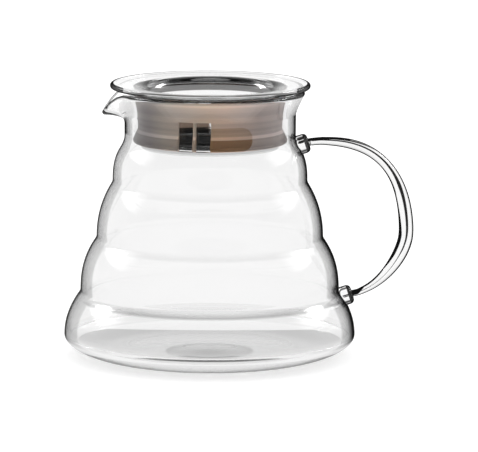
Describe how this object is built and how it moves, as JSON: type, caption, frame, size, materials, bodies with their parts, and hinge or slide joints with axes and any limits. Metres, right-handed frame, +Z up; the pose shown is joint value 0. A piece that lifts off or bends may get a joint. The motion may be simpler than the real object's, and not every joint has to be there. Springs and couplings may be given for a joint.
{
  "type": "coffee server",
  "caption": "Lidded glass coffee server: stacked-ring body, small drawn spout, fused glass rod handle, and a drop-in glass lid with a notched silicone gasket.",
  "frame": {"origin": "on the table at the centre of the foot", "axes": "+Z up; -X towards the spout, +X towards the handle; +Y to the left of someone who looks from the spout to the handle"},
  "size_m": [0.1429, 0.119, 0.1126],
  "materials": {
    "vessel_glass": "clear polished",
    "handle_glass": "clear polished",
    "lid_glass": "clear polished",
    "gasket_silicone": "matte translucent brown"
  },
  "bodies": {
    "carafe": {"glass_body": "vessel_glass", "handle_rod": "handle_glass", "upper_weld_pad": "handle_glass", "lower_weld_pad": "handle_glass"},
    "lid": {"lid_glass": "lid_glass"},
    "gasket": {"lid_gasket": "gasket_silicone"}
  },
  "joints": [
    {"name": "lid_lift", "type": "slide", "parent": "carafe", "child": "lid", "axis": [0, 0, 1], "range_m": [0, 0.06]},
    {"name": "lid_turn", "type": "hinge", "parent": "lid", "child": "gasket", "pos_m": [0, 0, 0.1], "axis": [0, 0, 1], "continuous": true}
  ]
}
